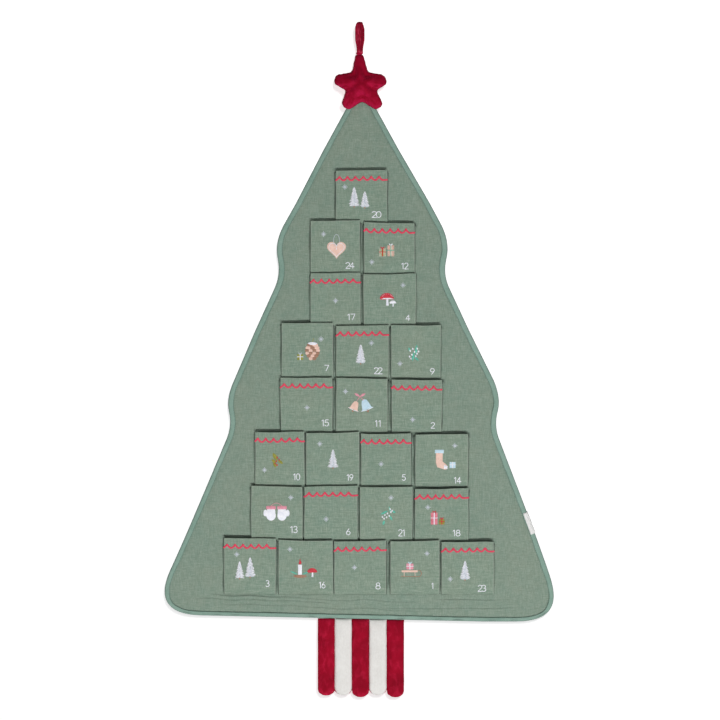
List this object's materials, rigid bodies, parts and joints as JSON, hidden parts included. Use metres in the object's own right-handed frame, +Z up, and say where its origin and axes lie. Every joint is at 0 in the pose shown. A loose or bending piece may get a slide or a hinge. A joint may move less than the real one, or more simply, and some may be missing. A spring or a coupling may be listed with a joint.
{
  "type": "fabric advent calendar",
  "caption": "Hanging advent calendar, a padded linen tree with number pockets, a stuffed velvet star with a hanging loop and a striped trunk",
  "frame": {"origin": "the hook point, under the top fold of the hanging loop", "axes": "+Z up along the calendar, +X to the right seen from the front, -Y out of the front, +Y towards the wall"},
  "size_m": [0.6026, 0.0267, 1.0456],
  "materials": {
    "green_linen": "matt linen weave",
    "green_binding": "matt cotton binding",
    "red_velvet": "short velvet pile",
    "cream_rib": "fine ribbed cotton",
    "white_wadding": "loose wadding",
    "white_tape": "woven tape",
    "embroidery_thread": "satin stitch"
  },
  "bodies": {
    "loop": {"hanging_loop": "red_velvet"},
    "tree": {"star_front": "red_velvet", "star_back": "red_velvet", "star_filling": "white_wadding", "tree_front_fabric": "green_linen", "tree_wadding": "white_wadding", "tree_back_fabric": "green_linen", "edge_binding": "green_binding", "side_tag": "white_tape"},
    "trunk": {"trunk_back": "red_velvet", "trunk_strip_1": "red_velvet", "trunk_strip_2": "cream_rib", "trunk_strip_3": "red_velvet", "trunk_strip_4": "cream_rib", "trunk_strip_5": "red_velvet", "trunk_wadding_1": "white_wadding", "trunk_wadding_2": "white_wadding", "trunk_wadding_3": "white_wadding", "trunk_wadding_4": "white_wadding", "trunk_wadding_5": "white_wadding"},
    "pocket_01": {"pocket_01": "green_linen"},
    "pocket_02": {"pocket_02": "green_linen"},
    "pocket_03": {"pocket_03": "green_linen"},
    "pocket_04": {"pocket_04": "green_linen"},
    "pocket_05": {"pocket_05": "green_linen"},
    "pocket_06": {"pocket_06": "green_linen"},
    "pocket_07": {"pocket_07": "green_linen"},
    "pocket_08": {"pocket_08": "green_linen"},
    "pocket_09": {"pocket_09": "green_linen"},
    "pocket_10": {"pocket_10": "green_linen"},
    "pocket_11": {"pocket_11": "green_linen"},
    "pocket_12": {"pocket_12": "green_linen"},
    "pocket_13": {"pocket_13": "green_linen"},
    "pocket_14": {"pocket_14": "green_linen"},
    "pocket_15": {"pocket_15": "green_linen"},
    "pocket_16": {"pocket_16": "green_linen"},
    "pocket_17": {"pocket_17": "green_linen"},
    "pocket_18": {"pocket_18": "green_linen"},
    "pocket_19": {"pocket_19": "green_linen"},
    "pocket_20": {"pocket_20": "green_linen"},
    "pocket_21": {"pocket_21": "green_linen"},
    "pocket_22": {"pocket_22": "green_linen"},
    "pocket_23": {"pocket_23": "green_linen"},
    "pocket_24": {"pocket_24": "green_linen"}
  },
  "joints": [
    {"name": "loop_swing", "type": "hinge", "parent": "loop", "child": "tree", "pos_m": [0, 0, -0.0465], "axis": [-1, 0, 0], "range_deg": [0, 75]},
    {"name": "trunk_swing", "type": "hinge", "parent": "tree", "child": "trunk", "pos_m": [0, 0.002, -0.9238], "axis": [-1, 0, 0], "range_deg": [0, 75]},
    {"name": "pocket_01_open", "type": "hinge", "parent": "tree", "child": "pocket_01", "pos_m": [0.0817, -0.0016, -0.8854], "axis": [1, 0, 0], "range_deg": [0, 22], "stiffness_Nm_per_rad": 0.01, "springref_deg": -2.01},
    {"name": "pocket_02_open", "type": "hinge", "parent": "tree", "child": "pocket_02", "pos_m": [0.0851, -0.0016, -0.6343], "axis": [1, 0, 0], "range_deg": [0, 22], "stiffness_Nm_per_rad": 0.01, "springref_deg": -2.01},
    {"name": "pocket_03_open", "type": "hinge", "parent": "tree", "child": "pocket_03", "pos_m": [-0.1718, -0.0016, -0.8854], "axis": [1, 0, 0], "range_deg": [0, 22], "stiffness_Nm_per_rad": 0.01, "springref_deg": -2.01},
    {"name": "pocket_04_open", "type": "hinge", "parent": "tree", "child": "pocket_04", "pos_m": [0.04585, -0.0016, -0.4709], "axis": [1, 0, 0], "range_deg": [0, 22], "stiffness_Nm_per_rad": 0.01, "springref_deg": -2.01},
    {"name": "pocket_05_open", "type": "hinge", "parent": "tree", "child": "pocket_05", "pos_m": [0.04365, -0.0016, -0.718], "axis": [1, 0, 0], "range_deg": [0, 22], "stiffness_Nm_per_rad": 0.01, "springref_deg": -2.01},
    {"name": "pocket_06_open", "type": "hinge", "parent": "tree", "child": "pocket_06", "pos_m": [-0.04385, -0.0016, -0.8017], "axis": [1, 0, 0], "range_deg": [0, 22], "stiffness_Nm_per_rad": 0.01, "springref_deg": -2.01},
    {"name": "pocket_07_open", "type": "hinge", "parent": "tree", "child": "pocket_07", "pos_m": [-0.0839, -0.0016, -0.5506], "axis": [1, 0, 0], "range_deg": [0, 22], "stiffness_Nm_per_rad": 0.01, "springref_deg": -2.01},
    {"name": "pocket_08_open", "type": "hinge", "parent": "tree", "child": "pocket_08", "pos_m": [-0.0028, -0.0016, -0.8854], "axis": [1, 0, 0], "range_deg": [0, 22], "stiffness_Nm_per_rad": 0.01, "springref_deg": -2.01},
    {"name": "pocket_09_open", "type": "hinge", "parent": "tree", "child": "pocket_09", "pos_m": [0.0851, -0.0016, -0.5506], "axis": [1, 0, 0], "range_deg": [0, 22], "stiffness_Nm_per_rad": 0.01, "springref_deg": -2.01},
    {"name": "pocket_10_open", "type": "hinge", "parent": "tree", "child": "pocket_10", "pos_m": [-0.12535, -0.0016, -0.718], "axis": [1, 0, 0], "range_deg": [0, 22], "stiffness_Nm_per_rad": 0.01, "springref_deg": -2.01},
    {"name": "pocket_11_open", "type": "hinge", "parent": "tree", "child": "pocket_11", "pos_m": [0.0006, -0.0016, -0.6343], "axis": [1, 0, 0], "range_deg": [0, 22], "stiffness_Nm_per_rad": 0.01, "springref_deg": -2.01},
    {"name": "pocket_12_open", "type": "hinge", "parent": "tree", "child": "pocket_12", "pos_m": [0.04505, -0.0016, -0.3912], "axis": [1, 0, 0], "range_deg": [0, 22], "stiffness_Nm_per_rad": 0.01, "springref_deg": -2.01},
    {"name": "pocket_13_open", "type": "hinge", "parent": "tree", "child": "pocket_13", "pos_m": [-0.12835, -0.0016, -0.8017], "axis": [1, 0, 0], "range_deg": [0, 22], "stiffness_Nm_per_rad": 0.01, "springref_deg": -2.01},
    {"name": "pocket_14_open", "type": "hinge", "parent": "tree", "child": "pocket_14", "pos_m": [0.12815, -0.0016, -0.718], "axis": [1, 0, 0], "range_deg": [0, 22], "stiffness_Nm_per_rad": 0.01, "springref_deg": -2.01},
    {"name": "pocket_15_open", "type": "hinge", "parent": "tree", "child": "pocket_15", "pos_m": [-0.0839, -0.0016, -0.6343], "axis": [1, 0, 0], "range_deg": [0, 22], "stiffness_Nm_per_rad": 0.01, "springref_deg": -2.01},
    {"name": "pocket_16_open", "type": "hinge", "parent": "tree", "child": "pocket_16", "pos_m": [-0.0873, -0.0016, -0.8854], "axis": [1, 0, 0], "range_deg": [0, 22], "stiffness_Nm_per_rad": 0.01, "springref_deg": -2.01},
    {"name": "pocket_17_open", "type": "hinge", "parent": "tree", "child": "pocket_17", "pos_m": [-0.03865, -0.0016, -0.4709], "axis": [1, 0, 0], "range_deg": [0, 22], "stiffness_Nm_per_rad": 0.01, "springref_deg": -2.01},
    {"name": "pocket_18_open", "type": "hinge", "parent": "tree", "child": "pocket_18", "pos_m": [0.12515, -0.0016, -0.8017], "axis": [1, 0, 0], "range_deg": [0, 22], "stiffness_Nm_per_rad": 0.01, "springref_deg": -2.01},
    {"name": "pocket_19_open", "type": "hinge", "parent": "tree", "child": "pocket_19", "pos_m": [-0.04085, -0.0016, -0.718], "axis": [1, 0, 0], "range_deg": [0, 22], "stiffness_Nm_per_rad": 0.01, "springref_deg": -2.01},
    {"name": "pocket_20_open", "type": "hinge", "parent": "tree", "child": "pocket_20", "pos_m": [0.0012, -0.0016, -0.3115], "axis": [1, 0, 0], "range_deg": [0, 22], "stiffness_Nm_per_rad": 0.01, "springref_deg": -2.01},
    {"name": "pocket_21_open", "type": "hinge", "parent": "tree", "child": "pocket_21", "pos_m": [0.04065, -0.0016, -0.8017], "axis": [1, 0, 0], "range_deg": [0, 22], "stiffness_Nm_per_rad": 0.01, "springref_deg": -2.01},
    {"name": "pocket_22_open", "type": "hinge", "parent": "tree", "child": "pocket_22", "pos_m": [0.0006, -0.0016, -0.5506], "axis": [1, 0, 0], "range_deg": [0, 22], "stiffness_Nm_per_rad": 0.01, "springref_deg": -2.01},
    {"name": "pocket_23_open", "type": "hinge", "parent": "tree", "child": "pocket_23", "pos_m": [0.1662, -0.0016, -0.8854], "axis": [1, 0, 0], "range_deg": [0, 22], "stiffness_Nm_per_rad": 0.01, "springref_deg": -2.01},
    {"name": "pocket_24_open", "type": "hinge", "parent": "tree", "child": "pocket_24", "pos_m": [-0.03945, -0.0016, -0.3912], "axis": [1, 0, 0], "range_deg": [0, 22], "stiffness_Nm_per_rad": 0.01, "springref_deg": -2.01}
  ]
}
